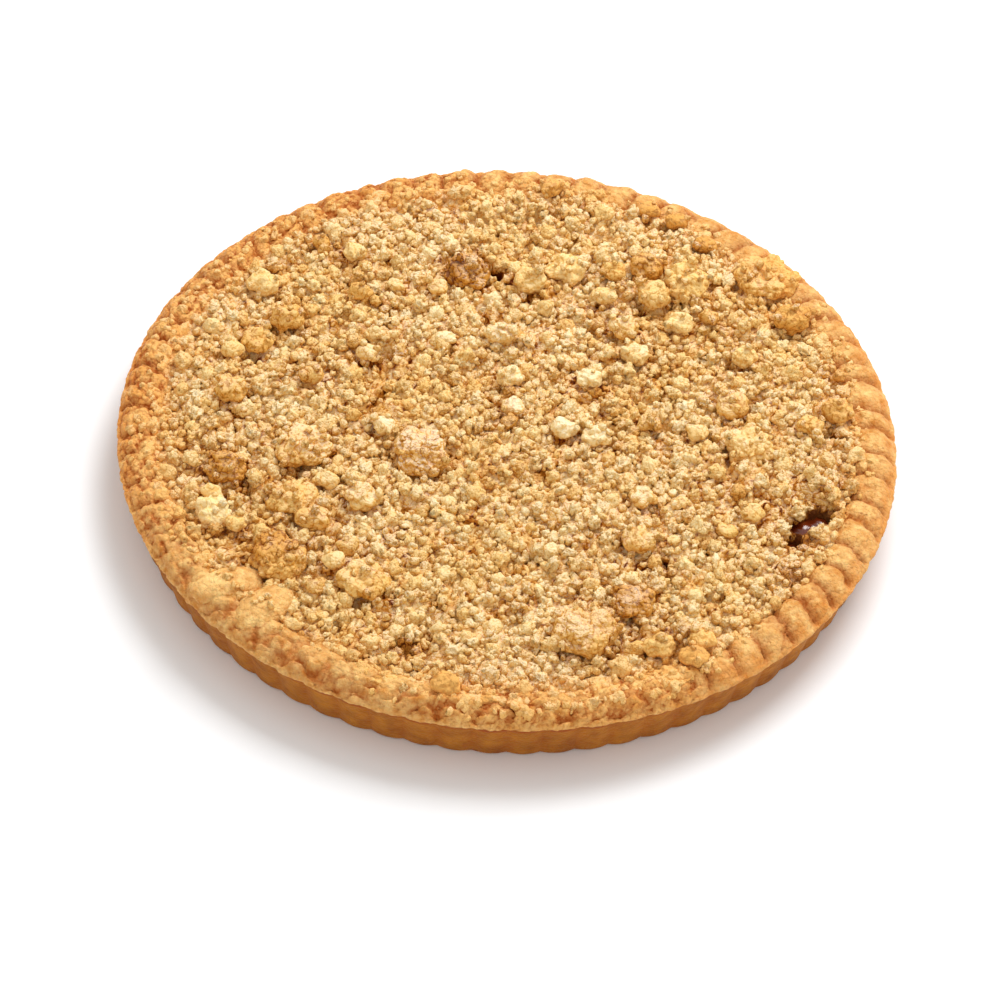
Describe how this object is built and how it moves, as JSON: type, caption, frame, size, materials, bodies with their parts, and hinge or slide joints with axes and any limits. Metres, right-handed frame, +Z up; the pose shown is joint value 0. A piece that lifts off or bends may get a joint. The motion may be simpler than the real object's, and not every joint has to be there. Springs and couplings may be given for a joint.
{
  "type": "dutch apple pie",
  "caption": "Shallow round tart with a fluted shortcrust shell, lobed rim, apple filling showing through a gap and a coarse crumb topping with loose clumps.",
  "frame": {"origin": "on the surface the pie stands on, under the middle of its rim", "axes": "+Z up, -Y towards the front of the pictured side, +X to its right"},
  "size_m": [0.2666, 0.2669, 0.0356],
  "materials": {
    "crust": "baked shortcrust, golden brown, dry",
    "filling": "cooked apple in dark syrup, wet",
    "crumb": "baked butter crumb, granular and dry",
    "clump": "baked butter crumb, granular, lightly dusted"
  },
  "bodies": {
    "root": {"crust": "crust", "filling": "filling", "crumb_topping": "crumb", "clump_01": "clump", "clump_02": "clump", "clump_03": "clump", "clump_04": "clump", "clump_05": "clump", "clump_06": "clump", "clump_07": "clump", "clump_08": "clump", "clump_09": "clump", "clump_10": "clump", "clump_11": "clump", "clump_12": "clump", "clump_13": "clump", "clump_14": "clump"}
  },
  "joints": []
}
